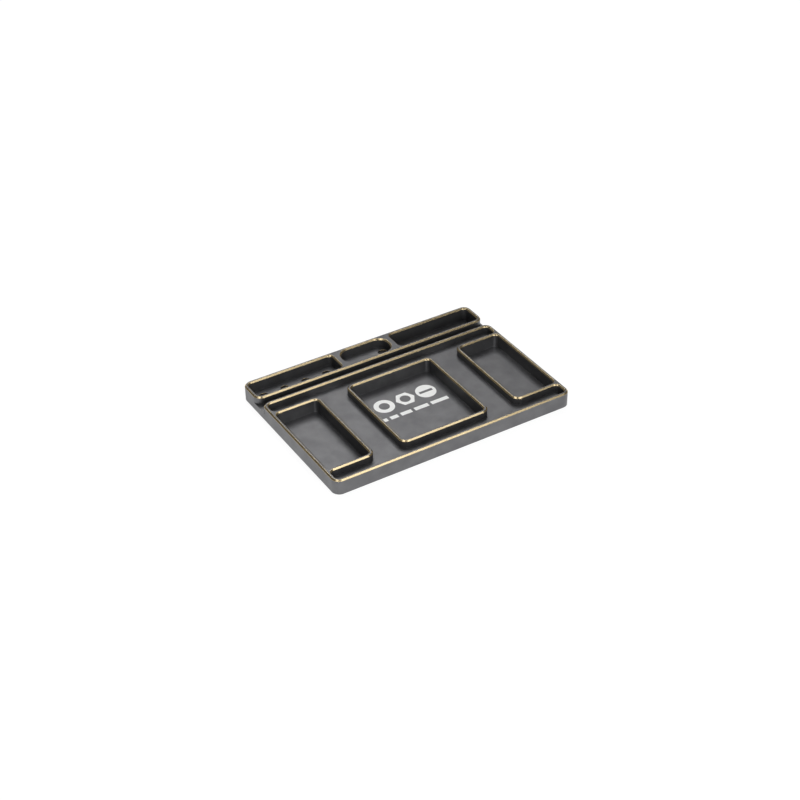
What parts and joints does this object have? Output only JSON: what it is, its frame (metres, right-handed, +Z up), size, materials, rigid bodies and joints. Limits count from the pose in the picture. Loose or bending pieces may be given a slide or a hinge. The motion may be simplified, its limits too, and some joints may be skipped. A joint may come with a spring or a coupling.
{
  "type": "parts sorting tray",
  "caption": "Flat milled metal tray with walled pockets at two depths, a through groove and a rear strip of small pockets with seated disc magnets, on thin rubber feet.",
  "frame": {"origin": "on the table under the middle of the tray: centre of the overall box in X and Y, underside of the rubber feet in Z", "axes": "+X along the tray's length, to the right; +Y from the front edge to the rear strip; +Z up"},
  "size_m": [0.16, 0.112, 0.0105],
  "materials": {
    "anodised_aluminium": "satin black anodised, with bright gold chamfered edges",
    "magnet_coating": "satin black coating",
    "foot_rubber": "matt black"
  },
  "bodies": {
    "root": {"tray_body": "anodised_aluminium", "magnet_1": "magnet_coating", "magnet_2": "magnet_coating", "magnet_3": "magnet_coating", "magnet_4": "magnet_coating", "magnet_5": "magnet_coating", "foot_front_left": "foot_rubber", "foot_front_right": "foot_rubber", "foot_rear_left": "foot_rubber", "foot_rear_right": "foot_rubber"}
  },
  "joints": []
}
